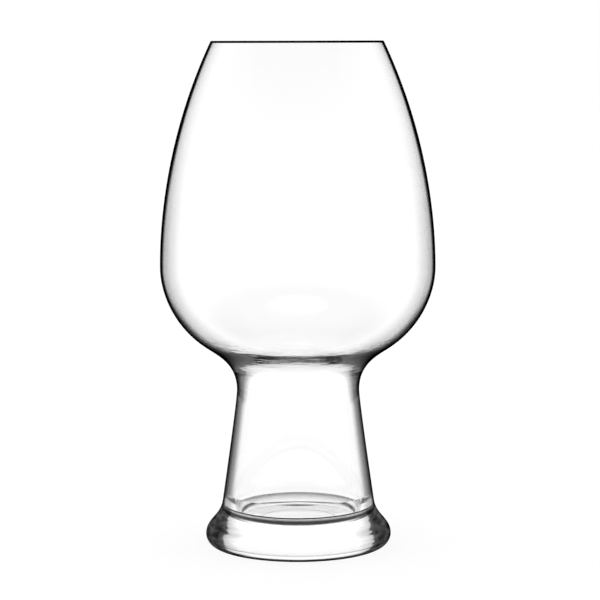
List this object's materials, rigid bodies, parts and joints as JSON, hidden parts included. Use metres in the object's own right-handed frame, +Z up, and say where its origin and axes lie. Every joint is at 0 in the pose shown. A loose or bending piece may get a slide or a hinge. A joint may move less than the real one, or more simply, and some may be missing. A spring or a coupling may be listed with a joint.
{
  "type": "wheat beer glass",
  "caption": "Tall footed beer glass of clear glass: a wide bowl that narrows to its mouth, on a hollow tapered stem and a thick round foot.",
  "frame": {"origin": "centre of the foot, on the surface that the glass stands on", "axes": "+Z up the axis of the glass, from the foot to the rim; X and Y are level, and the glass is the same all round"},
  "size_m": [0.1042, 0.1042, 0.192],
  "materials": {
    "clear_glass": "clear, colourless, fire-polished"
  },
  "bodies": {
    "root": {"bowl": "clear_glass", "stem": "clear_glass", "foot": "clear_glass"}
  },
  "joints": []
}
